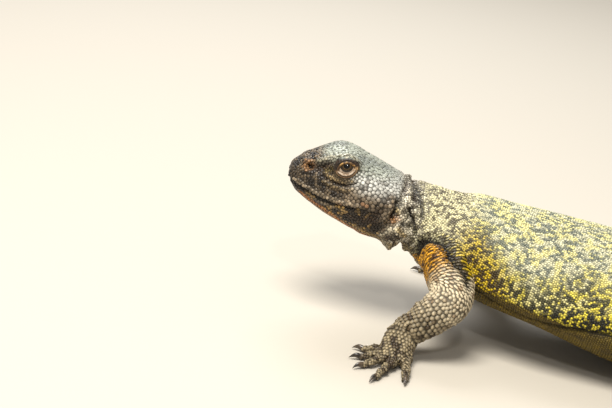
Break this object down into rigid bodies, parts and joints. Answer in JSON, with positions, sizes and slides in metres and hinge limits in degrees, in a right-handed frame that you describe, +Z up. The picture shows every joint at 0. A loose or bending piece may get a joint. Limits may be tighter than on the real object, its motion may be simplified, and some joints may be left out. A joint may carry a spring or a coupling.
{
  "type": "spiny-tailed agama lizard model",
  "caption": "Life-size still model of a stout spiny-tailed agama lizard resting on its belly, chest raised on its forelegs and head up, with whorls of spines along the tail.",
  "frame": {"origin": "middle of the footprint of the whole animal, at floor level", "axes": "+X from the head to the tail, +Y to the animal's right side, +Z up; the animal faces -X"},
  "size_m": [0.3198, 0.1692, 0.057],
  "materials": {
    "slate_skin": "matte slate-grey scaled skin of the head",
    "speckled_skin": "matte yellow-olive scaled skin with dark specks",
    "limb_skin": "matte grey-brown scaled skin",
    "tail_skin": "matte grey-olive skin with horny spines",
    "claw_horn": "satin dark horn",
    "eye": "wet gloss"
  },
  "bodies": {
    "root": {"head": "slate_skin", "jaw": "slate_skin", "eye_left": "eye", "eye_right": "eye", "neck": "speckled_skin", "chest": "speckled_skin", "belly": "speckled_skin", "pelvis": "speckled_skin", "tail_1": "tail_skin", "tail_2": "tail_skin", "tail_3": "tail_skin", "tail_4": "tail_skin", "upper_arm_left": "limb_skin", "forearm_left": "limb_skin", "hand_left": "limb_skin", "thigh_left": "limb_skin", "shank_left": "limb_skin", "foot_left": "limb_skin", "upper_arm_right": "limb_skin", "forearm_right": "limb_skin", "hand_right": "limb_skin", "thigh_right": "limb_skin", "shank_right": "limb_skin", "foot_right": "limb_skin", "claw_hand_left_1": "claw_horn", "claw_hand_left_2": "claw_horn", "claw_hand_left_3": "claw_horn", "claw_hand_left_4": "claw_horn", "claw_hand_left_5": "claw_horn", "claw_foot_left_1": "claw_horn", "claw_foot_left_2": "claw_horn", "claw_foot_left_3": "claw_horn", "claw_foot_left_4": "claw_horn", "claw_foot_left_5": "claw_horn", "claw_hand_right_1": "claw_horn", "claw_hand_right_2": "claw_horn", "claw_hand_right_3": "claw_horn", "claw_hand_right_4": "claw_horn", "claw_hand_right_5": "claw_horn", "claw_foot_right_1": "claw_horn", "claw_foot_right_2": "claw_horn", "claw_foot_right_3": "claw_horn", "claw_foot_right_4": "claw_horn", "claw_foot_right_5": "claw_horn"}
  },
  "joints": []
}
